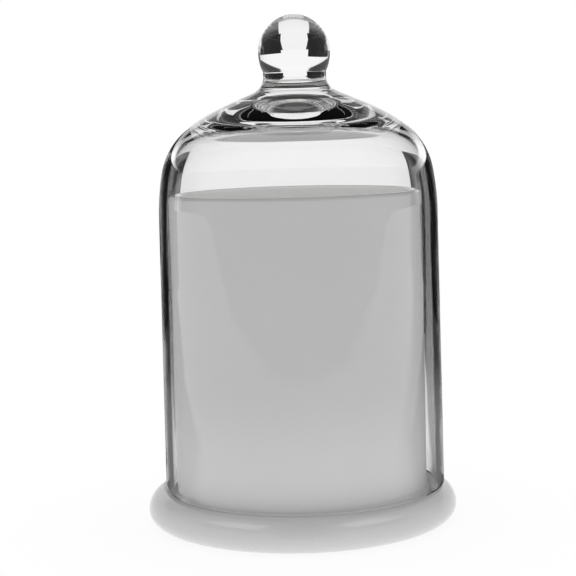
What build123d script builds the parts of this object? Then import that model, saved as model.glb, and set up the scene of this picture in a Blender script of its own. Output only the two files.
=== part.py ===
"""Cloche candle: a clear glass bell with a ball knob over an opaque grey cup on a wide round foot.

Millimetres. +Z is up. The origin is the middle of the underside, in the plane the foot stands on.
Every piece is turned about a vertical axis, so each one is a half outline drawn on the XZ plane.
"""
import os
from math import acos, cos, degrees, radians, sin

from build123d import *

os.makedirs("parts", exist_ok=True)

# Foot of the vessel: a thick round flange with a rolled edge.
foot_radius = 49.8
foot_height = 11.4
foot_roll_width = 6.0
foot_widest_height = 5.0
recess_radius = 40.0
recess_depth = 1.5
recess_slope_width = 1.5

# Cup standing on the foot, one piece with it.
cup_radius = 40.4
cup_wall = 2.8
cup_floor_height = 6.5
cup_rim_height = 106.2
cup_inner_corner = 6.0
cup_root_fillet = 0.8
cup_rim_rounding = 1.2

# Bell: a slightly flared wall, three arcs up the shoulder and a straight crown slope.
# The bell stands loose on the foot, a millimetre to one side of the cup.
bell_offset = 1.0
bell_rim_radius = 45.0
bell_draft_angle = 0.37
bell_wall_height = 87.5
bell_wall = 2.3
bell_rim_rounding = 0.8
shoulder_low_radius, shoulder_low_angle = 80.2, 10.3
shoulder_mid_radius, shoulder_mid_angle = 22.2, 43.0
shoulder_top_radius, shoulder_top_angle = 59.0, 12.7
crown_slope_length = 10.9
ceiling_corner_radius, ceiling_corner_angle = 18.0, 66.0

# Ball knob fused to the crown by a short neck.
neck_radius = 10.0
knob_radius = 11.4
knob_half_height = 12.15
knob_centre_height = 138.6

# Candle inside the cup.
wax_height = 84.0
wax_climb = 1.2
wax_climb_width = 4.0
wick_radius = 1.1
wick_height = 93.0
wick_tip_rounding = 0.6
tab_radius = 10.0
tab_thickness = 0.4
tab_collar_radius = 2.2
tab_collar_height = 3.6
sticker_radius = 8.0
sticker_thickness = 0.5

# Blank round label under the foot.
label_radius = 30.0
label_thickness = 0.2

seat_height = foot_height
cup_inner_radius = cup_radius - cup_wall
sticker_top = cup_floor_height + sticker_thickness
tab_top = sticker_top + tab_thickness
collar_top = sticker_top + tab_collar_height


# Vessel: foot, cup and floor in one pressed piece.
with BuildPart() as vessel:
    with BuildSketch(Plane.XZ):
        with BuildLine():
            roll_start = foot_radius - foot_roll_width
            Line((0, recess_depth), (recess_radius - recess_slope_width, recess_depth))
            Line((recess_radius - recess_slope_width, recess_depth), (recess_radius, 0))
            Line((recess_radius, 0), (roll_start, 0))
            EllipticalCenterArc(
                (roll_start, foot_widest_height),
                foot_roll_width,
                foot_widest_height,
                start_angle=270,
                arc_size=90,
            )
            EllipticalCenterArc(
                (roll_start, foot_widest_height),
                foot_roll_width,
                foot_height - foot_widest_height,
                start_angle=0,
                arc_size=90,
            )
            Line((roll_start, foot_height), (cup_radius + cup_root_fillet, foot_height))
            RadiusArc(
                (cup_radius + cup_root_fillet, foot_height),
                (cup_radius, foot_height + cup_root_fillet),
                cup_root_fillet,
            )
            Line(
                (cup_radius, foot_height + cup_root_fillet),
                (cup_radius, cup_rim_height - cup_rim_rounding),
            )
            RadiusArc(
                (cup_radius, cup_rim_height - cup_rim_rounding),
                (cup_radius - cup_rim_rounding, cup_rim_height),
                -cup_rim_rounding,
            )
            Line(
                (cup_radius - cup_rim_rounding, cup_rim_height),
                (cup_inner_radius + cup_rim_rounding, cup_rim_height),
            )
            RadiusArc(
                (cup_inner_radius + cup_rim_rounding, cup_rim_height),
                (cup_inner_radius, cup_rim_height - cup_rim_rounding),
                -cup_rim_rounding,
            )
            Line(
                (cup_inner_radius, cup_rim_height - cup_rim_rounding),
                (cup_inner_radius, cup_floor_height + cup_inner_corner),
            )
            RadiusArc(
                (cup_inner_radius, cup_floor_height + cup_inner_corner),
                (cup_inner_radius - cup_inner_corner, cup_floor_height),
                cup_inner_corner,
            )
            Line((cup_inner_radius - cup_inner_corner, cup_floor_height), (0, cup_floor_height))
            Line((0, cup_floor_height), (0, recess_depth))
        make_face()
    revolve(axis=Axis.Z)


# Glass dome: bell, crown, neck and ball knob, one body of glass.
def along(angle):
    """Unit direction at an angle from the radial way, in the plane of the outline."""
    return (cos(radians(angle)), sin(radians(angle)))


wall_angle = 90 + bell_draft_angle
low_angle = wall_angle + shoulder_low_angle
mid_angle = low_angle + shoulder_mid_angle
crown_angle = mid_angle + shoulder_top_angle
ceiling_angle = low_angle + ceiling_corner_angle
wall_lean = bell_wall_height * sin(radians(bell_draft_angle))
knob_centre = seat_height + knob_centre_height
knob_top = knob_centre + knob_half_height
knob_low_angle = degrees(acos(neck_radius / knob_radius))
neck_top = knob_centre - knob_half_height * sin(radians(knob_low_angle))

with BuildPart() as glass_dome:
    with BuildSketch(Plane.XZ):
        with BuildLine():
            # Outside, from the rim up to the neck.
            inner_rim_radius = bell_rim_radius - bell_wall
            outer_wall = Line(
                (bell_rim_radius, seat_height + bell_rim_rounding),
                (bell_rim_radius - wall_lean, seat_height + bell_wall_height),
            )
            low_arc = JernArc(
                outer_wall @ 1, along(wall_angle), shoulder_low_radius, shoulder_low_angle
            )
            mid_arc = JernArc(
                low_arc @ 1, along(low_angle), shoulder_mid_radius, shoulder_mid_angle
            )
            top_arc = JernArc(
                mid_arc @ 1, along(mid_angle), shoulder_top_radius, shoulder_top_angle
            )
            slope = PolarLine(top_arc @ 1, crown_slope_length, crown_angle)
            neck_turn = crown_angle - 90
            neck_fillet = ((slope @ 1).X - neck_radius) / (1 - cos(radians(neck_turn)))
            neck_arc = JernArc(slope @ 1, along(crown_angle), neck_fillet, -neck_turn)
            Line(neck_arc @ 1, (neck_radius, neck_top))
            # Ball knob, from the neck over the top to the axis.
            EllipticalCenterArc(
                (0, knob_centre),
                knob_radius,
                knob_half_height,
                start_angle=-knob_low_angle,
                arc_size=90 + knob_low_angle,
            )
            # Inside, from the rim up to the ceiling.
            inner_wall = Line(
                (inner_rim_radius, seat_height + bell_rim_rounding),
                (inner_rim_radius - wall_lean, seat_height + bell_wall_height),
            )
            inner_low_arc = JernArc(
                inner_wall @ 1,
                along(wall_angle),
                shoulder_low_radius - bell_wall,
                shoulder_low_angle,
            )
            corner_arc = JernArc(
                inner_low_arc @ 1, along(low_angle), ceiling_corner_radius, ceiling_corner_angle
            )
            ceiling_radius = (corner_arc @ 1).X / sin(radians(180 - ceiling_angle))
            ceiling_arc = JernArc(
                corner_arc @ 1, along(ceiling_angle), ceiling_radius, 180 - ceiling_angle
            )
            Line(ceiling_arc @ 1, (0, knob_top))
            # Fire-polished rim.
            RadiusArc(
                (bell_rim_radius, seat_height + bell_rim_rounding),
                (bell_rim_radius - bell_rim_rounding, seat_height),
                bell_rim_rounding,
            )
            Line(
                (bell_rim_radius - bell_rim_rounding, seat_height),
                (inner_rim_radius + bell_rim_rounding, seat_height),
            )
            RadiusArc(
                (inner_rim_radius + bell_rim_rounding, seat_height),
                (inner_rim_radius, seat_height + bell_rim_rounding),
                bell_rim_rounding,
            )
        make_face()
    revolve(axis=Axis.Z)
glass_dome.part.position = (bell_offset, 0, 0)


# Wax poured round the wick, its edge drawn up a little where it meets the cup.
with BuildPart() as wax_fill:
    with BuildSketch(Plane.XZ):
        with BuildLine():
            Line((wick_radius, wax_height), (wick_radius, collar_top))
            Line((wick_radius, collar_top), (tab_collar_radius, collar_top))
            Line((tab_collar_radius, collar_top), (tab_collar_radius, tab_top))
            Line((tab_collar_radius, tab_top), (tab_radius, tab_top))
            Line((tab_radius, tab_top), (tab_radius, sticker_top))
            Line((tab_radius, sticker_top), (sticker_radius, sticker_top))
            Line((sticker_radius, sticker_top), (sticker_radius, cup_floor_height))
            Line(
                (sticker_radius, cup_floor_height),
                (cup_inner_radius - cup_inner_corner, cup_floor_height),
            )
            RadiusArc(
                (cup_inner_radius - cup_inner_corner, cup_floor_height),
                (cup_inner_radius, cup_floor_height + cup_inner_corner),
                -cup_inner_corner,
            )
            Line(
                (cup_inner_radius, cup_floor_height + cup_inner_corner),
                (cup_inner_radius, wax_height + wax_climb),
            )
            TangentArc(
                (cup_inner_radius - wax_climb_width, wax_height),
                (cup_inner_radius, wax_height + wax_climb),
                tangent=(1, 0),
            )
            Line((cup_inner_radius - wax_climb_width, wax_height), (wick_radius, wax_height))
        make_face()
    revolve(axis=Axis.Z)


# Wick: a round cotton cord standing out of the wax.
with BuildPart() as wick:
    with BuildSketch(Plane.XZ):
        with BuildLine():
            Line((0, sticker_top), (wick_radius, sticker_top))
            Line((wick_radius, sticker_top), (wick_radius, wick_height - wick_tip_rounding))
            RadiusArc(
                (wick_radius, wick_height - wick_tip_rounding),
                (wick_radius - wick_tip_rounding, wick_height),
                -wick_tip_rounding,
            )
            Line((wick_radius - wick_tip_rounding, wick_height), (0, wick_height))
            Line((0, wick_height), (0, sticker_top))
        make_face()
    revolve(axis=Axis.Z)


# Wick tab: a thin metal disc with a collar crimped round the wick.
with BuildPart() as wick_tab:
    with BuildSketch(Plane.XY.offset(sticker_top)):
        Circle(tab_radius)
        Circle(wick_radius, mode=Mode.SUBTRACT)
    extrude(amount=tab_thickness)
    with BuildSketch(Plane.XY.offset(sticker_top)):
        Circle(tab_collar_radius)
        Circle(wick_radius, mode=Mode.SUBTRACT)
    extrude(amount=tab_collar_height)


# Sticker: the foam disc that holds the wick tab to the cup's floor.
with BuildPart() as wick_sticker:
    with BuildSketch(Plane.XY.offset(cup_floor_height)):
        Circle(sticker_radius)
    extrude(amount=sticker_thickness)


# Base label: a blank paper disc in the recess under the foot.
with BuildPart() as base_label:
    with BuildSketch(Plane.XY.offset(recess_depth)):
        Circle(label_radius)
    extrude(amount=-label_thickness)


vessel.part.label = "vessel"
glass_dome.part.label = "glass_dome"
wax_fill.part.label = "wax_fill"
wick.part.label = "wick"
wick_tab.part.label = "wick_tab"
wick_sticker.part.label = "wick_sticker"
base_label.part.label = "base_label"

export_step(vessel.part, "parts/vessel.step")
export_step(glass_dome.part, "parts/glass_dome.step")
export_step(wax_fill.part, "parts/wax_fill.step")
export_step(wick.part, "parts/wick.step")
export_step(wick_tab.part, "parts/wick_tab.step")
export_step(wick_sticker.part, "parts/wick_sticker.step")
export_step(base_label.part, "parts/base_label.step")
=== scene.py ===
"""Glass cloche candle: the looks of the dome, the grey vessel and the candle inside it.

The floor, the studio round the glass and the camera are made here too."""
import math

import bmesh
import bpy
from mathutils import Matrix, Vector, noise


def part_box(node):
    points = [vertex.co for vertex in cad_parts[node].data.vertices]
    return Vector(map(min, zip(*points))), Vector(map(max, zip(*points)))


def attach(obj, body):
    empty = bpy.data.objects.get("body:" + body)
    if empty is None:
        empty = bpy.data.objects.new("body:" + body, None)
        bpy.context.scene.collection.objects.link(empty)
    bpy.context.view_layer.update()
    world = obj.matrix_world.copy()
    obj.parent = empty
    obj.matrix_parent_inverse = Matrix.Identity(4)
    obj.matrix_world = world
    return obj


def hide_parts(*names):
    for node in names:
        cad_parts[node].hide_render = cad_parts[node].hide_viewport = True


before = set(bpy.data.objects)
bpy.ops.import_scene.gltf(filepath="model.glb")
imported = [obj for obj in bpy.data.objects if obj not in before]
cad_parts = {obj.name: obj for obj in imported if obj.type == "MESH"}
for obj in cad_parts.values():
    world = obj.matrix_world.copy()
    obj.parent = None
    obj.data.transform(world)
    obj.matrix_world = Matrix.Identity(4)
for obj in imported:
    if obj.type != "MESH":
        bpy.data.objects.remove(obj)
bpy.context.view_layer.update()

MM = 0.001
DEGREE = math.pi / 180
ON_AXIS = 1e-7
LAST_RING = 0.02 * MM


# ---------------------------------------------------------------- outlines and turned meshes
def arc_points(cx, cz, rx, rz, start, end, steps):
    """Points of an elliptical arc in the half plane, with angles in degrees from the radial way."""
    points = []
    for k in range(steps + 1):
        a = math.radians(start + (end - start) * k / steps)
        points.append((cx + rx * math.cos(a), cz + rz * math.sin(a)))
    return points


def turn_points(x, z, heading, radius, sweep, steps):
    """An arc that leaves (x, z) along heading, in degrees, and turns left for a positive sweep.

    The point (x, z) itself is left out."""
    side = 1 if sweep > 0 else -1
    normal = math.radians(heading + 90 * side)
    cx, cz = x + radius * math.cos(normal), z + radius * math.sin(normal)
    points = []
    for k in range(1, steps + 1):
        a = math.radians(heading + sweep * k / steps - 90 * side)
        points.append((cx + radius * math.cos(a), cz + radius * math.sin(a)))
    return points


def line_points(p, q, steps):
    """Points from p to q, without p itself."""
    dx, dz = q[0] - p[0], q[1] - p[1]
    return [(p[0] + dx * k / steps, p[1] + dz * k / steps) for k in range(1, steps + 1)]


def between_0_and_1(value):
    return max(0.0, min(1.0, value))


def add_object(name, data):
    """A new object in the scene."""
    piece = bpy.data.objects.new(name, data)
    bpy.context.scene.collection.objects.link(piece)
    return piece


def mesh_object(name, bm):
    """Turns a finished bmesh into a smooth-shaded object."""
    bmesh.ops.recalc_face_normals(bm, faces=bm.faces)
    for face in bm.faces:
        face.smooth = True
    mesh = bpy.data.meshes.new(name)
    bm.to_mesh(mesh)
    bm.free()
    return add_object(name, mesh)


def lathe(name, outline, centre, segments=256, shape=None, closed=False):
    """Turns an outline of (radius, height) in metres about the upright line through centre.

    shape(r, z, angle) may give each point of a ring its own radius and height."""
    bm = bmesh.new()
    rings = []
    for r, z in outline:
        if r < ON_AXIS:
            rings.append([bm.verts.new((centre[0], centre[1], z))])
            continue
        ring = []
        for k in range(segments):
            a = 2 * math.pi * k / segments
            rr, zz = shape(r, z, a) if shape else (r, z)
            ring.append(bm.verts.new((centre[0] + rr * math.cos(a), centre[1] + rr * math.sin(a), zz)))
        rings.append(ring)
    pairs = list(zip(rings, rings[1:]))
    if closed:
        pairs.append((rings[-1], rings[0]))
    for low, high in pairs:
        if len(low) == 1 and len(high) == 1:
            continue
        for k in range(segments):
            j = (k + 1) % segments
            if len(low) == 1:
                bm.faces.new((low[0], high[j], high[k]))
            elif len(high) == 1:
                bm.faces.new((low[k], low[j], high[0]))
            else:
                bm.faces.new((low[k], low[j], high[j], high[k]))
    return mesh_object(name, bm)


def tubes(name, paths, radius, sides=8):
    """One mesh of round tubes, closed at both ends, along lists of points."""
    bm = bmesh.new()
    for path in paths:
        rings = []
        for k, point in enumerate(path):
            ahead = path[min(k + 1, len(path) - 1)] - path[max(k - 1, 0)]
            across = ahead.cross(Vector((1, 0, 0))).normalized()
            other = ahead.cross(across).normalized()
            ring = []
            for i in range(sides):
                a = 2 * math.pi * i / sides
                ring.append(bm.verts.new(point + radius * (math.cos(a) * across + math.sin(a) * other)))
            rings.append(ring)
        for low, high in zip(rings, rings[1:]):
            for i in range(sides):
                j = (i + 1) % sides
                bm.faces.new((low[i], low[j], high[j], high[i]))
        bm.faces.new(rings[0])
        bm.faces.new(rings[-1])
    return mesh_object(name, bm)


# ---------------------------------------------------------------- shader helpers
# A Mix node has a pair of sockets for each kind of data, so its colour sockets are found by number.
MIX_FACTOR, MIX_FIRST, MIX_SECOND, MIX_RESULT = 0, 6, 7, 2


class Nodes:
    """Short calls for building a node tree."""

    def __init__(self, tree):
        self.tree = tree
        tree.nodes.clear()

    def new(self, kind, **values):
        node = self.tree.nodes.new(kind)
        for key, value in values.items():
            setattr(node, key, value)
        return node

    def link(self, a, b):
        self.tree.links.new(a, b)

    def put(self, socket, value):
        """Gives a socket a plain value, or links it to another node's output."""
        if hasattr(value, "is_output"):
            self.link(value, socket)
        else:
            socket.default_value = value

    def math(self, operation, *values):
        node = self.new("ShaderNodeMath", operation=operation)
        for socket, value in zip(node.inputs, values):
            self.put(socket, value)
        return node.outputs[0]

    def times(self, *values):
        product = values[0]
        for value in values[1:]:
            product = self.math("MULTIPLY", product, value)
        return product

    def most(self, *values):
        top = values[0]
        for value in values[1:]:
            top = self.math("MAXIMUM", top, value)
        return top

    def mix(self, factor, first, second):
        node = self.new("ShaderNodeMix", data_type="RGBA")
        self.put(node.inputs[MIX_FACTOR], factor)
        self.put(node.inputs[MIX_FIRST], first)
        self.put(node.inputs[MIX_SECOND], second)
        return node.outputs[MIX_RESULT]

    def remap(self, value, low, high, to_low=0.0, to_high=1.0, smooth=True):
        node = self.new("ShaderNodeMapRange", interpolation_type="SMOOTHSTEP" if smooth else "LINEAR")
        self.put(node.inputs["Value"], value)
        node.inputs["From Min"].default_value = low
        node.inputs["From Max"].default_value = high
        node.inputs["To Min"].default_value = to_low
        node.inputs["To Max"].default_value = to_high
        return node.outputs[0]

    def noise(self, vector, scale, detail=3.0, roughness=0.5):
        node = self.new("ShaderNodeTexNoise")
        self.link(vector, node.inputs["Vector"])
        node.inputs["Scale"].default_value = scale
        node.inputs["Detail"].default_value = detail
        node.inputs["Roughness"].default_value = roughness
        return node.outputs["Fac"]

    def stretched(self, vector, x, y, z):
        node = self.new("ShaderNodeMapping")
        self.link(vector, node.inputs["Vector"])
        node.inputs["Scale"].default_value = (x, y, z)
        return node.outputs[0]

    def parts(self, vector):
        node = self.new("ShaderNodeSeparateXYZ")
        self.link(vector, node.inputs[0])
        return node.outputs

    def ground_length(self, x, y):
        return self.math("SQRT", self.math("ADD", self.times(x, x), self.times(y, y)))

    def bump(self, height, strength, distance, bsdf):
        node = self.new("ShaderNodeBump")
        node.inputs["Strength"].default_value = strength
        node.inputs["Distance"].default_value = distance
        self.link(height, node.inputs["Height"])
        self.link(node.outputs[0], bsdf.inputs["Normal"])


def grey(value):
    return (value, value, value, 1.0)


def new_material(name):
    """A material with a Principled shader, and the object's own coordinates in metres."""
    mat = bpy.data.materials.new(name)
    mat.use_nodes = True
    n = Nodes(mat.node_tree)
    out = n.new("ShaderNodeOutputMaterial")
    bsdf = n.new("ShaderNodeBsdfPrincipled")
    n.link(bsdf.outputs[0], out.inputs["Surface"])
    return mat, n, bsdf, n.new("ShaderNodeTexCoord").outputs["Object"]


# ---------------------------------------------------------------- materials
GLASS_IOR = 1.5
WAX_IOR = 1.44
CLEAR_TINT = (grey(0.985), grey(1.0))
CUP_CLOUD = (grey(0.355), grey(0.41))
CUP_SPECK = grey(0.345)
# Painted light: the next grey is painted over the cup towards its root, and less over the foot, against the
# shade where cup, foot and the dome's rim meet.
CUP_ROOT_PAINTED_LIGHT = grey(0.50)
# Painted light: the next grey is painted inside the cup, against the shade in it.
CUP_INSIDE_PAINTED_LIGHT = grey(0.66)
# Heights and shares of the painted light at the cup's root and on the foot.
ROOT_LIGHT_FADE = (14.0 * MM, 50.0 * MM)
ROOT_LIGHT_SHARE = 0.60
FOOT_LIGHT_FADE = (9.5 * MM, 13.0 * MM)
FOOT_LIGHT_SHARE = 0.35
# How far into the cup's wall the painted light inside the cup fades in.
INSIDE_LIGHT_FADE = (0.2 * MM, 1.2 * MM)
WAX_MOTTLE = ((0.80, 0.78, 0.73, 1), (0.90, 0.885, 0.85, 1))
WAX_BLOOM = (0.95, 0.945, 0.93, 1)
WAX_SCATTER = 3.0 * MM
COTTON = ((0.66, 0.62, 0.52, 1), (0.90, 0.88, 0.80, 1))
COTTON_WAX = (0.93, 0.91, 0.86, 1)
TIN = ((0.60, 0.60, 0.58, 1), (0.78, 0.78, 0.76, 1))
# Painted shade: the first grey is the shade painted in the foam's cell hollows, the second the foam's own
# colour.
FOAM_WITH_PIT_SHADE = (grey(0.74), (0.92, 0.92, 0.90, 1))
PAPER = ((0.86, 0.86, 0.84, 1), (0.95, 0.95, 0.94, 1))
RING_INK = grey(0.45)
RING_LINE = (0.15 * MM, 0.3 * MM)


def clear_glass():
    """Clear glass with a slightly uneven surface."""
    mat, n, bsdf, coord = new_material("clear_glass")
    n.put(bsdf.inputs["Base Color"], n.mix(n.noise(coord, 18.0, detail=2.0), *CLEAR_TINT))
    bsdf.inputs["Roughness"].default_value = 0.0
    bsdf.inputs["IOR"].default_value = GLASS_IOR
    bsdf.inputs["Transmission Weight"].default_value = 1.0
    n.bump(n.noise(coord, 55.0, detail=1.0), 0.05, 1.0 * MM, bsdf)
    return mat


def grey_glass(inner_radius, floor_height):
    """Opaque grey glass: glossy and a little cloudy, with painted light that makes it paler towards the cup's
    root, less so over the foot, and inside the cup.
    """
    mat, n, bsdf, coord = new_material("grey_glass")
    cloud = n.noise(coord, 14.0, detail=4.0)
    speck = n.noise(coord, 900.0, detail=2.0)
    tone = n.mix(cloud, *CUP_CLOUD)
    tone = n.mix(n.remap(speck, 0.35, 0.75, 0.0, 0.25), tone, CUP_SPECK)
    x, y, z = n.parts(coord)
    # Painted light: paler towards the cup's root and, less, over the foot.
    root = n.times(n.remap(z, *ROOT_LIGHT_FADE, ROOT_LIGHT_SHARE, 0.0), n.remap(z, *FOOT_LIGHT_FADE, FOOT_LIGHT_SHARE, 1.0))
    tone = n.mix(root, tone, CUP_ROOT_PAINTED_LIGHT)
    # Painted light: paler on the cup's inner wall and floor.
    wall_start, wall_end = (inner_radius + depth for depth in INSIDE_LIGHT_FADE)
    inside = n.remap(n.ground_length(x, y), wall_start, wall_end, 1.0, 0.0)
    inside = n.times(inside, n.math("GREATER_THAN", z, floor_height - 1.0 * MM))
    n.put(bsdf.inputs["Base Color"], n.mix(inside, tone, CUP_INSIDE_PAINTED_LIGHT))
    n.put(bsdf.inputs["Roughness"], n.remap(cloud, 0.3, 0.7, 0.10, 0.15))
    bsdf.inputs["IOR"].default_value = GLASS_IOR
    n.bump(n.noise(coord, 60.0, detail=2.0), 0.04, 0.5 * MM, bsdf)
    return mat


def candle_wax():
    """Soft container wax: pale, faintly mottled, with a frosted bloom of small crystals."""
    mat, n, bsdf, coord = new_material("candle_wax")
    mottle = n.noise(coord, 90.0, detail=5.0, roughness=0.6)
    bloom = n.noise(coord, 420.0, detail=3.0, roughness=0.7)
    tone = n.mix(mottle, *WAX_MOTTLE)
    n.put(bsdf.inputs["Base Color"], n.mix(n.remap(bloom, 0.55, 0.75), tone, WAX_BLOOM))
    n.put(bsdf.inputs["Roughness"], n.remap(bloom, 0.3, 0.7, 0.38, 0.62))
    bsdf.inputs["IOR"].default_value = WAX_IOR
    bsdf.inputs["Subsurface Weight"].default_value = 0.25
    bsdf.inputs["Subsurface Radius"].default_value = (1.0, 0.8, 0.6)
    bsdf.inputs["Subsurface Scale"].default_value = WAX_SCATTER
    n.bump(n.math("ADD", mottle, n.times(bloom, 0.35)), 0.25, 0.4 * MM, bsdf)
    return mat


def braided_cotton():
    """Waxed cotton: fine fibres along the cord, paler and smoother where wax has soaked in."""
    mat, n, bsdf, coord = new_material("braided_cotton")
    fibre = n.noise(n.stretched(coord, 9.0, 9.0, 1.0), 700.0, detail=3.0, roughness=0.6)
    wax = n.noise(coord, 500.0, detail=2.0)
    tone = n.mix(fibre, *COTTON)
    n.put(bsdf.inputs["Base Color"], n.mix(n.remap(wax, 0.5, 0.7, 0.0, 0.5), tone, COTTON_WAX))
    n.put(bsdf.inputs["Roughness"], n.remap(wax, 0.4, 0.7, 0.85, 0.5))
    bsdf.inputs["Sheen Weight"].default_value = 0.3
    n.bump(fibre, 0.6, 0.2 * MM, bsdf)
    return mat


def tinned_steel():
    """Rolled tin plate: bright, with fine parallel marks and a few dull clouds."""
    mat, n, bsdf, coord = new_material("tinned_steel")
    rolled = n.noise(n.stretched(coord, 1.0, 40.0, 1.0), 160.0, detail=3.0, roughness=0.6)
    cloud = n.noise(coord, 260.0, detail=2.0)
    n.put(bsdf.inputs["Base Color"], n.mix(cloud, *TIN))
    wear = n.math("ADD", rolled, n.times(cloud, 0.5))
    n.put(bsdf.inputs["Roughness"], n.remap(wear, 0.5, 1.0, 0.22, 0.42))
    bsdf.inputs["Metallic"].default_value = 1.0
    n.bump(rolled, 0.15, 0.1 * MM, bsdf)
    return mat


def adhesive_foam():
    """Closed-cell foam of a wick sticker, with painted shade in the hollows of its cells."""
    mat, n, bsdf, coord = new_material("adhesive_foam")
    cells = n.new("ShaderNodeTexVoronoi")
    n.link(coord, cells.inputs["Vector"])
    cells.inputs["Scale"].default_value = 3200.0
    depth = n.remap(cells.outputs["Distance"], 0.0, 0.6)
    # Painted shade: each cell is painted darker towards its hollow middle.
    n.put(bsdf.inputs["Base Color"], n.mix(depth, *FOAM_WITH_PIT_SHADE))
    bsdf.inputs["Roughness"].default_value = 0.85
    n.bump(depth, 0.5, 0.1 * MM, bsdf)
    return mat


def label_paper(ring_radius):
    """Matt paper with soft fibres and one plain ring near its edge."""
    mat, n, bsdf, coord = new_material("label_paper")
    fibre = n.noise(n.stretched(coord, 1.0, 3.0, 1.0), 900.0, detail=4.0, roughness=0.65)
    tone = n.mix(fibre, *PAPER)
    x, y = n.parts(coord)[:2]
    off_ring = n.math("ABSOLUTE", n.math("SUBTRACT", n.ground_length(x, y), ring_radius))
    n.put(bsdf.inputs["Base Color"], n.mix(n.remap(off_ring, *RING_LINE, 1.0, 0.0), tone, RING_INK))
    n.put(bsdf.inputs["Roughness"], n.remap(fibre, 0.3, 0.7, 0.75, 0.9))
    n.bump(fibre, 0.2, 0.1 * MM, bsdf)
    return mat


# ---------------------------------------------------------------- glass dome
# Each shoulder arc, and the ceiling's corner, is a radius and the angle it turns through in degrees.
DRAFT = 0.37
WALL_HEIGHT = 87.5 * MM
WALL = 2.3 * MM
RIM_ROUND = 0.8 * MM
SHOULDER = ((80.2 * MM, 10.3), (22.2 * MM, 43.0), (59.0 * MM, 12.7))
SHOULDER_STEPS = (14, 30, 14)
SLOPE = 10.9 * MM
CEILING_CORNER = (18.0 * MM, 66.0)
NECK = 10.0 * MM
KNOB = 11.4 * MM
KNOB_HALF = 12.15 * MM
dome_low, dome_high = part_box("glass_dome")
dome_axis = ((dome_low.x + dome_high.x) / 2, (dome_low.y + dome_high.y) / 2)
dome_rim_radius = (dome_high.x - dome_low.x) / 2
dome_inner_rim = dome_rim_radius - WALL
seat = dome_low.z
wall_lean = WALL_HEIGHT * math.sin(math.radians(DRAFT))


def dome_outside():
    """The outside of the glass from the rim up the wall, over the shoulder and neck to the knob's top."""
    heading = 90 + DRAFT
    start = (dome_rim_radius, seat + RIM_ROUND)
    points = [start] + line_points(start, (dome_rim_radius - wall_lean, seat + WALL_HEIGHT), 30)
    for (radius, sweep), steps in zip(SHOULDER, SHOULDER_STEPS):
        points += turn_points(*points[-1], heading, radius, sweep, steps)
        heading += sweep
    x, z = points[-1]
    uphill = math.radians(heading)
    points += line_points((x, z), (x + SLOPE * math.cos(uphill), z + SLOPE * math.sin(uphill)), 8)
    turn = heading - 90
    fillet = (points[-1][0] - NECK) / (1 - math.cos(math.radians(turn)))
    points += turn_points(*points[-1], heading, fillet, -turn, 24)
    low_angle = -math.degrees(math.acos(NECK / KNOB))
    knob = arc_points(0, dome_high.z - KNOB_HALF, KNOB, KNOB_HALF, low_angle, 90, 72)
    return points + line_points(points[-1], knob[0], 4) + knob[1:-1] + [(0.0, dome_high.z)]


def dome_inside():
    """The inside of the glass from the rim up the wall and round the corner to the ceiling's middle."""
    heading = 90 + DRAFT
    start = (dome_inner_rim, seat + RIM_ROUND)
    points = [start] + line_points(start, (dome_inner_rim - wall_lean, seat + WALL_HEIGHT), 30)
    shoulder_radius, shoulder_sweep = SHOULDER[0]
    points += turn_points(*points[-1], heading, shoulder_radius - WALL, shoulder_sweep, SHOULDER_STEPS[0])
    heading += shoulder_sweep
    points += turn_points(*points[-1], heading, *CEILING_CORNER, 36)
    heading += CEILING_CORNER[1]
    left_to_turn = 180 - heading
    ceiling_radius = points[-1][0] / math.sin(math.radians(left_to_turn))
    points += turn_points(*points[-1], heading, ceiling_radius, left_to_turn, 30)
    return points[:-1] + [(0.0, points[-1][1])]


def dome_rim():
    """The rounded rim between the inside and the outside."""
    z = seat + RIM_ROUND
    rim = arc_points(dome_inner_rim + RIM_ROUND, z, RIM_ROUND, RIM_ROUND, 180, 270, 8)[1:]
    return rim + arc_points(dome_rim_radius - RIM_ROUND, z, RIM_ROUND, RIM_ROUND, 270, 360, 8)[:-1]


# The dome throws no shadow and is left out for light from matt surfaces, as clear glass barely dims either.
dome = lathe("glass_dome_body", dome_inside()[::-1] + dome_rim() + dome_outside(), dome_axis, segments=320)
dome.data.materials.append(clear_glass())
dome.visible_shadow = False
dome.visible_diffuse = False
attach(dome, "dome")
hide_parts("glass_dome")


# ---------------------------------------------------------------- grey vessel
FOOT_HEIGHT = 11.4 * MM
ROLL = 6.0 * MM
WIDEST = 5.0 * MM
CUP = 40.4 * MM
CUP_WALL = 2.8 * MM
RIM = 1.2 * MM
ROOT = 0.8 * MM
FLOOR = 6.5 * MM
CORNER = 6.0 * MM
RECESS = 40.0 * MM
RECESS_DEPTH = 1.5 * MM
SOFT_EDGE = 0.5 * MM
cup_low, cup_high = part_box("vessel")
axis = ((cup_low.x + cup_high.x) / 2, (cup_low.y + cup_high.y) / 2)
foot_radius = (cup_high.x - cup_low.x) / 2


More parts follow.
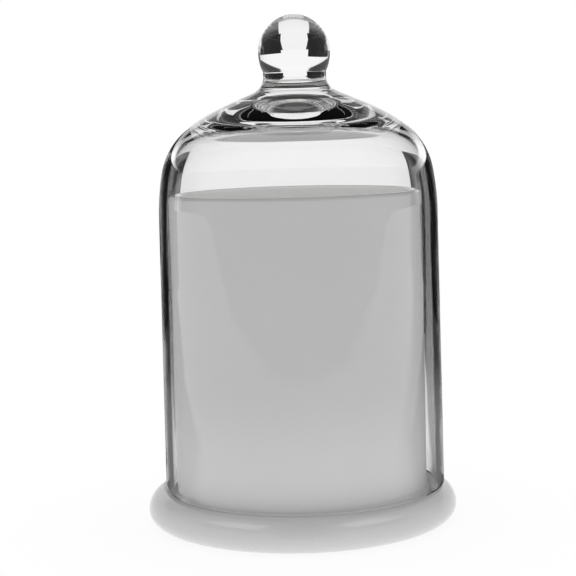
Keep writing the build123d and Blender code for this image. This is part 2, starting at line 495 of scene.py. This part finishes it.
def vessel_outline():
    """From the middle of the underside round the foot, up the cup, over its rim and down to its floor."""
    z0 = cup_low.z
    roll = foot_radius - ROLL
    inner = CUP - CUP_WALL
    step = RECESS - RECESS_DEPTH - SOFT_EDGE
    points = [(0.0, z0 + RECESS_DEPTH)]
    points += line_points(points[-1], (step, z0 + RECESS_DEPTH), 12)
    points += arc_points(step, z0 + RECESS_DEPTH - SOFT_EDGE, SOFT_EDGE, SOFT_EDGE, 90, 45, 4)[1:]
    points += arc_points(RECESS + SOFT_EDGE, z0 + SOFT_EDGE, SOFT_EDGE, SOFT_EDGE, 225, 270, 4)
    points += line_points(points[-1], (roll, z0), 6)
    points += arc_points(roll, z0 + WIDEST, ROLL, WIDEST, 270, 360, 28)[1:]
    points += arc_points(roll, z0 + WIDEST, ROLL, FOOT_HEIGHT - WIDEST, 0, 90, 32)[1:]
    points += line_points(points[-1], (CUP + ROOT, z0 + FOOT_HEIGHT), 5)
    points += arc_points(CUP + ROOT, z0 + FOOT_HEIGHT + ROOT, ROOT, ROOT, 270, 180, 8)[1:]
    points += line_points(points[-1], (CUP, cup_high.z - RIM), 50)
    points += arc_points(CUP - RIM, cup_high.z - RIM, RIM, RIM, 0, 90, 10)[1:]
    points += arc_points(inner + RIM, cup_high.z - RIM, RIM, RIM, 90, 180, 10)
    points += line_points(points[-1], (inner, z0 + FLOOR + CORNER), 40)
    points += arc_points(inner - CORNER, z0 + FLOOR + CORNER, CORNER, CORNER, 0, -90, 14)[1:]
    points += line_points(points[-1], (LAST_RING, z0 + FLOOR), 12)
    return points + [(0.0, z0 + FLOOR)]


vessel = lathe("vessel_body", vessel_outline(), axis)
vessel.data.materials.append(grey_glass(CUP - CUP_WALL, cup_low.z + FLOOR))
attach(vessel, "base")
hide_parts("vessel")


# ---------------------------------------------------------------- candle
WAX_CLIMB_WIDTH = 4.0 * MM
WAX_CLIMB = 1.2 * MM
WAX_GAP = 0.05 * MM
RIPPLE = 0.12 * MM
RIPPLE_DEPTH = 2 * MM
RIPPLES_PER_METRE = 60
STRAND = 0.42 * MM
STRANDS = 3
BRAID_WIDE = 0.55 * MM
BRAID_DEEP = 0.3 * MM
BRAID_PITCH = 4.6 * MM
BRAID_STEP = 0.3 * MM
TAB_SHEET = 0.4 * MM
TAB_HOLE = 1.15 * MM
TAB_COLLAR = 2.2 * MM
TAB_BEND = 0.6 * MM
TAB_LIP = 0.2 * MM
CRIMP_START = 1.0 * MM
CRIMP_RISE = 1.5 * MM
CRIMP_SHARE = 0.10
STICKER_EDGE = 0.15 * MM
LABEL_EDGE = 0.05 * MM
LABEL_RING = 27.0 * MM
wax_low, wax_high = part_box("wax_fill")
wick_low, wick_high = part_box("wick")
tab_low, tab_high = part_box("wick_tab")
sticker_low, sticker_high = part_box("wick_sticker")
label_low, label_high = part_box("base_label")


def wax_shape(r, z, angle):
    """A poured surface isn't quite flat: the top of the wax swells and dips a little."""
    level = wax_high.z - WAX_CLIMB
    share = between_0_and_1((z - (level - RIPPLE_DEPTH)) / RIPPLE_DEPTH)
    share *= between_0_and_1(((wax_high.x - wax_low.x) / 2 - r) / WAX_CLIMB_WIDTH)
    place = Vector((r * math.cos(angle), r * math.sin(angle), 0.0))
    return r, z + share * RIPPLE * noise.noise(place * RIPPLES_PER_METRE)


def make_wax():
    """The wax from its foot in the cup's floor corner to its top, with the edge drawn up the wall."""
    outer = (wax_high.x - wax_low.x) / 2 - WAX_GAP
    level = wax_high.z - WAX_CLIMB
    flat = outer - WAX_CLIMB_WIDTH
    hole = (wick_high.x - wick_low.x) / 2
    climb_steps = 12
    climb = []
    for k in range(1, climb_steps + 1):
        share = k / climb_steps
        climb.append((flat + WAX_CLIMB_WIDTH * share, level + WAX_CLIMB * share * share))
    bottom = sticker_high.z + (tab_high.z - tab_low.z)
    points = [(hole, bottom)] + line_points((hole, bottom), (outer - CORNER, bottom), 6)
    points += arc_points(outer - CORNER, bottom + CORNER, CORNER, CORNER, 270, 360, 10)[1:]
    points += line_points(points[-1], climb[-1], 20)[:-1]
    points += climb[::-1] + line_points((flat, level), (hole, level), 40)
    return lathe("wax_body", points, axis, shape=wax_shape, closed=True)


def make_wick():
    """Three waxed strands plaited from the tab to the tip."""
    bottom, top = wick_low.z, wick_high.z - STRAND
    steps = int((top - bottom) / BRAID_STEP)
    paths = []
    for strand in range(STRANDS):
        path = []
        for k in range(steps + 1):
            z = bottom + (top - bottom) * k / steps
            t = 2 * math.pi * ((z - bottom) / BRAID_PITCH + strand / STRANDS)
            x, y = axis[0] + BRAID_WIDE * math.sin(t), axis[1] + BRAID_DEEP * math.sin(2 * t)
            path.append(Vector((x, y, z)))
        paths.append(path)
    return tubes("wick_braid", paths, STRAND)


def crimp(r, z, angle):
    """The collar is pinched on three sides where it grips the wick."""
    height = between_0_and_1((z - tab_low.z - CRIMP_START) / CRIMP_RISE)
    return r * (1 - CRIMP_SHARE * height * (0.5 + 0.5 * math.cos(3 * angle))), z


def make_tab():
    """A pressed tin disc with a rolled edge and a short crimped collar."""
    radius = (tab_high.x - tab_low.x) / 2
    bottom, top = tab_low.z, tab_high.z
    half = TAB_SHEET / 2
    bend_end = TAB_COLLAR + TAB_BEND
    points = [(TAB_HOLE, bottom)] + line_points((TAB_HOLE, bottom), (radius - half, bottom), 12)
    points += arc_points(radius - half, bottom + half, half, half, -90, 90, 8)[1:]
    points += line_points(points[-1], (bend_end, bottom + TAB_SHEET), 10)
    points += arc_points(bend_end, bottom + TAB_SHEET + TAB_BEND, TAB_BEND, TAB_BEND, 270, 180, 6)[1:]
    points += line_points(points[-1], (TAB_COLLAR, top - TAB_LIP), 8)
    points += arc_points(TAB_COLLAR - TAB_LIP, top - TAB_LIP, TAB_LIP, TAB_LIP, 0, 90, 4)[1:]
    points += line_points(points[-1], (TAB_HOLE, top), 3)
    points += line_points((TAB_HOLE, top), (TAB_HOLE, bottom), 8)[:-1]
    return lathe("wick_tab_body", points, axis, segments=96, shape=crimp, closed=True)


def soft_disc(name, low, high, edge):
    """A thin disc with rounded edges."""
    radius = (high.x - low.x) / 2
    points = [(0.0, low.z)] + line_points((0.0, low.z), (radius - edge, low.z), 8)
    points += arc_points(radius - edge, low.z + edge, edge, edge, 270, 360, 5)[1:]
    points += arc_points(radius - edge, high.z - edge, edge, edge, 0, 90, 5)
    points += line_points(points[-1], (LAST_RING, high.z), 8) + [(0.0, high.z)]
    return lathe(name, points, axis, segments=128)


def make_sticker():
    return soft_disc("wick_sticker_foam", sticker_low, sticker_high, STICKER_EDGE)


def make_label():
    return soft_disc("base_label_paper", label_low, label_high, LABEL_EDGE)


for piece, material, node, slot in (
    (make_wax(), candle_wax(), "wax_fill", "wax"),
    (make_wick(), braided_cotton(), "wick", "cotton"),
    (make_tab(), tinned_steel(), "wick_tab", "tinned_steel"),
    (make_sticker(), adhesive_foam(), "wick_sticker", "foam"),
    (make_label(), label_paper(LABEL_RING), "base_label", "label_paper"),
):
    piece.data.materials.append(material)
    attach(piece, "base")
    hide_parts(node)


# ---------------------------------------------------------------- camera
# Place in metres, focal length and sensor in millimetres, and angles in degrees.
CAMERA_PLACE = (-0.0029, -0.5238, 0.1318)
CAMERA_LENS = 102.46
CAMERA_SENSOR = 36.0
CAMERA_DOWN = 6.167
CAMERA_ROLL = -1.547
CAMERA_CLIP = 0.01


def make_camera():
    """A camera that looks straight ahead along +Y, tipped down and rolled a little."""
    data = bpy.data.cameras.new("camera")
    camera = add_object("camera", data)
    data.sensor_width = CAMERA_SENSOR
    data.lens = CAMERA_LENS
    data.clip_start = CAMERA_CLIP
    pitch, roll = math.radians(CAMERA_DOWN), math.radians(CAMERA_ROLL)
    forward = Vector((0, math.cos(pitch), -math.sin(pitch)))
    level_right = Vector((1, 0, 0))
    level_up = level_right.cross(forward)
    right = level_right * math.cos(roll) + level_up * math.sin(roll)
    up = level_up * math.cos(roll) - level_right * math.sin(roll)
    turn = Matrix((right, up, -forward)).transposed().to_4x4()
    camera.matrix_world = Matrix.Translation(Vector(CAMERA_PLACE)) @ turn
    bpy.context.scene.camera = camera


make_camera()


# ---------------------------------------------------------------- studio
# A lit strip stands behind the object, between two dark cards and under a dark ceiling, as in any studio
# shot of glass. Only rays that clear glass mirrors or lets through meet it. The camera and the matt surfaces
# see plain pale paper. Soft gloss, such as the grey cup's, sees pale walls, a darker front and two lamps.
#
# A tone is a strength of light. A pair of angles in degrees, or of lengths in metres, is where an edge starts
# and ends. On the world a height is the upward part of a ray's unit direction.
WHITE = grey(1.0)
PALE = grey(0.95)
CARD_TONE = grey(0.008)
CEILING_TONE = grey(0.045)
FRONT_TONE = grey(0.35)
MIRROR_FRONT_TONE = grey(0.05)
MIRROR_FLOOR_TONE = grey(0.06)
STRIP_TOP_TONE = grey(0.28)
# A wall of the bell has two surfaces, so a ray that has crossed four has come through both walls.
BOTH_WALLS = 3.5

# The world behind, beside and in front of the object.
STRIP_SIDE = (14.5, 20.5)
STRIP_TOP = (0.37, 0.41)
BAND_SPAN = (15, 60)
BAND_HEIGHTS = (0.33, 0.17)
BAND_EDGE = (-0.015, 0.025)
BAND_END = (60, 68)
ROOF_EDGE = (0.50, 0.56)
FRONT_START = (80, 100)
FRONT_TOP = (0.45, 0.60)
CLEAR_SIDE = (68, 78)
CLEAR_HEIGHT = (0.12, 0.18)
MIRROR_TURN = (-0.1, 0.1)
SOFT_TURN = (-0.2, 0.2)
SOFT_SIDE = (40, 80)
SOFT_SIDE_TONES = (0.55, 1.0)
SOFT_FRONT = (15, 28)
SOFT_FRONT_TONES = (0.35, 1.0)
SOFT_FRONT_TOP = (0.30, 0.45)
SOFT_FRONT_TOP_SHARE = 0.5
LAMP_START = (32, 46)
LAMP_END = (92, 110)
LAMP_BOTTOM = (0.56, 0.66)
LAMP_TOP = (0.87, 0.93)
LAMP_TONE = 2.6

# The floor. The strip and the painted shade of the cards on the ground beside it widen by these shares of the
# way to the back.
STRIP_HALF = 0.05
STRIP_SPREAD = 0.21
STRIP_EDGE = (-0.004, 0.006)
SIDE_START = 0.20
SIDE_SPREAD = 1.1
SIDE_EDGE = (-0.02, 0.03)
BACK_START = (-0.03, 0.01)
GROUND_REACH = (0.20, 0.38)
# Painted shade: the ground beside the strip is darkened for the cards' shadow, darker further from the
# middle.
GROUND_SHADE_TONES = (grey(0.18), grey(0.035))
FAR_FRONT = (-0.42, -0.32)
CLEAR_LEFT = (-0.012, -0.004)
CLEAR_REACH = (0.85, 0.95)
CLEAR_ANGLE = (30, 36)
PAPER_COLOUR = grey(0.22)
PAPER_GLOW = grey(0.80)
TABLE_GLOW = grey(1.5)
FLOOR_GAP = 0.2 * MM
FLOOR_RING = 0.05
FLOOR_GROWTH = 1.5
FLOOR_RINGS = 14

# A card's shape is where it starts beside the middle, its height there, and its height at its far end.
CARD_PLACE = 0.42
CARD_FOOT = 0.120
CARD_REACH = 0.75
LEFT_CARD = (0.104, 0.195, 0.27)
RIGHT_CARD = (0.104, 0.165, 0.20)
CARD_CLEAR = (-0.32, -0.26)


def ground_azimuth(n, x, y):
    """How far a way or a point on the ground is from straight behind the object, in radians."""
    return n.math("ABSOLUTE", n.math("ARCTAN2", x, y))


def by_angle(n, angle, edge, to_low=0.0, to_high=1.0, smooth=True):
    """A remap of an angle in radians, with its edge in degrees."""
    return n.remap(angle, edge[0] * DEGREE, edge[1] * DEGREE, to_low, to_high, smooth)


def through_both_walls(n, path):
    """1 for a ray that has come through both walls of the bell, and 0 for any other."""
    return n.math("GREATER_THAN", path.outputs["Transmission Depth"], BOTH_WALLS)


def world_pattern(n, x, y, z):
    """The studio above the horizon: a lit band that the cards stand in front of, and a dark ceiling."""
    azimuth = ground_azimuth(n, x, y)
    band_top = by_angle(n, azimuth, BAND_SPAN, *BAND_HEIGHTS, smooth=False)
    above = n.remap(n.math("SUBTRACT", z, band_top), *BAND_EDGE)
    above = n.times(above, by_angle(n, azimuth, STRIP_SIDE))
    dark = n.most(above, by_angle(n, azimuth, BAND_END), n.remap(z, *ROOF_EDGE))
    lit = n.mix(n.remap(z, *STRIP_TOP), WHITE, STRIP_TOP_TONE)
    front = n.times(by_angle(n, azimuth, FRONT_START), n.remap(z, *FRONT_TOP, 1.0, 0.0))
    return n.mix(front, n.mix(dark, lit, CEILING_TONE), FRONT_TONE)


def soft_pattern(n, x, y, z):
    """What soft gloss sees: pale walls, darker straight behind and in front, and two lamps in front."""
    side = by_angle(n, ground_azimuth(n, x, n.math("ABSOLUTE", y)), SOFT_SIDE, *SOFT_SIDE_TONES)
    aside = ground_azimuth(n, x, n.times(y, -1.0))
    front = by_angle(n, aside, SOFT_FRONT, *SOFT_FRONT_TONES)
    front = n.times(front, n.remap(z, *SOFT_FRONT_TOP, 1.0, SOFT_FRONT_TOP_SHARE))
    lamp = n.times(by_angle(n, aside, LAMP_START), by_angle(n, aside, LAMP_END, 1.0, 0.0))
    lamp = n.times(lamp, n.remap(z, *LAMP_BOTTOM), n.remap(z, *LAMP_TOP, 1.0, 0.0), LAMP_TONE)
    return n.mix(n.remap(y, *SOFT_TURN), n.most(front, lamp), side)


def make_world():
    """The studio round the object. A ray through both walls of the bell finds its sides clear."""
    world = bpy.data.worlds.new("studio")
    bpy.context.scene.world = world
    world.use_nodes = True
    n = Nodes(world.node_tree)
    out = n.new("ShaderNodeOutputWorld")
    background = n.new("ShaderNodeBackground")
    n.link(background.outputs[0], out.inputs["Surface"])
    x, y, z = n.parts(n.new("ShaderNodeTexCoord").outputs["Generated"])
    path = n.new("ShaderNodeLightPath")
    level = n.remap(n.math("ABSOLUTE", z), *CLEAR_HEIGHT, 1.0, 0.0)
    clear = n.times(level, by_angle(n, ground_azimuth(n, x, y), CLEAR_SIDE), through_both_walls(n, path))
    pattern = n.mix(clear, world_pattern(n, x, y, z), PALE)
    sharp = n.mix(n.remap(y, *MIRROR_TURN), MIRROR_FRONT_TONE, pattern)
    mirrored = n.mix(path.outputs["Is Singular Ray"], soft_pattern(n, x, y, z), sharp)
    seen = n.mix(path.outputs["Is Reflection Ray"], pattern, mirrored)
    seen = n.mix(path.outputs["Is Diffuse Ray"], seen, PALE)
    n.link(n.mix(path.outputs["Is Camera Ray"], seen, WHITE), background.inputs["Color"])


def floor_pattern(n, x, y):
    """The studio on the floor: the lit strip widening to the back, painted shade of the cards on the ground
    beside it, and pale sides.
    """
    back = n.math("MAXIMUM", y, 0.0)
    across = n.math("ABSOLUTE", x)
    past_strip = n.math("SUBTRACT", across, n.math("MULTIPLY_ADD", back, STRIP_SPREAD, STRIP_HALF))
    past_side = n.math("SUBTRACT", across, n.math("MULTIPLY_ADD", back, SIDE_SPREAD, SIDE_START))
    # Painted shade of the cards on the ground beside the lit strip.
    dark = n.times(n.remap(past_strip, *STRIP_EDGE), n.remap(past_side, *SIDE_EDGE, 1.0, 0.0))
    dark = n.times(dark, n.remap(y, *BACK_START))
    ground = n.mix(n.remap(n.ground_length(x, y), *GROUND_REACH), *GROUND_SHADE_TONES)
    return n.mix(dark, PALE, ground)


def floor_paper():
    """Pale paper for the camera and for soft light, and the studio's floor for the glass.

    A ray through both walls finds the ground clear at the left, and others find the far front grey."""
    mat = bpy.data.materials.new("floor_paper")
    mat.use_nodes = True
    n = Nodes(mat.node_tree)
    out = n.new("ShaderNodeOutputMaterial")
    x, y = n.parts(n.new("ShaderNodeNewGeometry").outputs["Position"])[:2]
    path = n.new("ShaderNodeLightPath")
    both_walls = through_both_walls(n, path)
    clear = n.times(n.remap(x, *CLEAR_LEFT, 1.0, 0.0), n.remap(n.ground_length(x, y), *CLEAR_REACH, 1.0, 0.0))
    clear = n.times(clear, by_angle(n, ground_azimuth(n, x, y), CLEAR_ANGLE), both_walls)
    pattern = n.mix(clear, floor_pattern(n, x, y), PALE)
    far_front = n.times(n.remap(y, *FAR_FRONT, 1.0, 0.0), n.math("SUBTRACT", 1.0, both_walls))
    pattern = n.mix(far_front, pattern, FRONT_TONE)
    mirrored = n.mix(path.outputs["Is Singular Ray"], WHITE, MIRROR_FLOOR_TONE)
    shown = n.new("ShaderNodeEmission")
    n.link(n.mix(path.outputs["Is Reflection Ray"], pattern, mirrored), shown.inputs["Color"])
    diffuse = n.new("ShaderNodeBsdfDiffuse")
    diffuse.inputs["Color"].default_value = PAPER_COLOUR
    glow = n.new("ShaderNodeEmission")
    n.link(n.mix(path.outputs["Is Diffuse Ray"], PAPER_GLOW, TABLE_GLOW), glow.inputs["Color"])
    paper = n.new("ShaderNodeAddShader")
    n.link(diffuse.outputs[0], paper.inputs[0])
    n.link(glow.outputs[0], paper.inputs[1])
    switch = n.new("ShaderNodeMixShader")
    n.link(n.most(path.outputs["Is Camera Ray"], path.outputs["Is Diffuse Ray"]), switch.inputs[0])
    n.link(shown.outputs[0], switch.inputs[1])
    n.link(paper.outputs[0], switch.inputs[2])
    n.link(switch.outputs[0], out.inputs["Surface"])
    return mat


def make_card(name, side, inner, inner_top, outer_top):
    """A dark card standing behind and beside the object, seen only in and through the glass.

    Soft gloss finds it pale, and so does a ray through both walls, far out at the left."""
    corners = ((CARD_FOOT, 0.0), (CARD_REACH, 0.0), (CARD_REACH, outer_top), (inner, inner_top))
    bm = bmesh.new()
    bm.faces.new([bm.verts.new((side * x, CARD_PLACE, z)) for x, z in corners])
    card = mesh_object(name, bm)
    mat = bpy.data.materials.new(name + "_board")
    mat.use_nodes = True
    n = Nodes(mat.node_tree)
    out = n.new("ShaderNodeOutputMaterial")
    path = n.new("ShaderNodeLightPath")
    rough = n.math("SUBTRACT", path.outputs["Is Reflection Ray"], path.outputs["Is Singular Ray"])
    x = n.parts(n.new("ShaderNodeNewGeometry").outputs["Position"])["X"]
    clear = n.times(n.remap(x, *CARD_CLEAR, 1.0, 0.0), through_both_walls(n, path))
    clear = n.most(clear, n.math("GREATER_THAN", rough, 0.5))
    board = n.new("ShaderNodeEmission")
    n.link(n.mix(clear, CARD_TONE, PALE), board.inputs["Color"])
    n.link(board.outputs[0], out.inputs["Surface"])
    card.data.materials.append(mat)
    card.visible_camera = False
    card.visible_diffuse = False
    card.visible_shadow = False
    return card


floor_rings = [(FLOOR_RING * FLOOR_GROWTH ** k, 0.0) for k in range(FLOOR_RINGS)]
floor = lathe("floor", [(0.0, 0.0)] + floor_rings, (0.0, 0.0), segments=96)
floor.location.z = cup_low.z - FLOOR_GAP
floor.data.materials.append(floor_paper())
for name, side, shape in (("card_left", -1, LEFT_CARD), ("card_right", 1, RIGHT_CARD)):
    card = make_card(name, side, *shape)
make_world()

# Enough bounces for a ray to cross every surface of the dome and the knob.
scene = bpy.context.scene
scene.view_settings.view_transform = "Standard"
scene.cycles.max_bounces = 32
scene.cycles.transmission_bounces = 32
scene.cycles.glossy_bounces = 16
scene.cycles.diffuse_bounces = 4
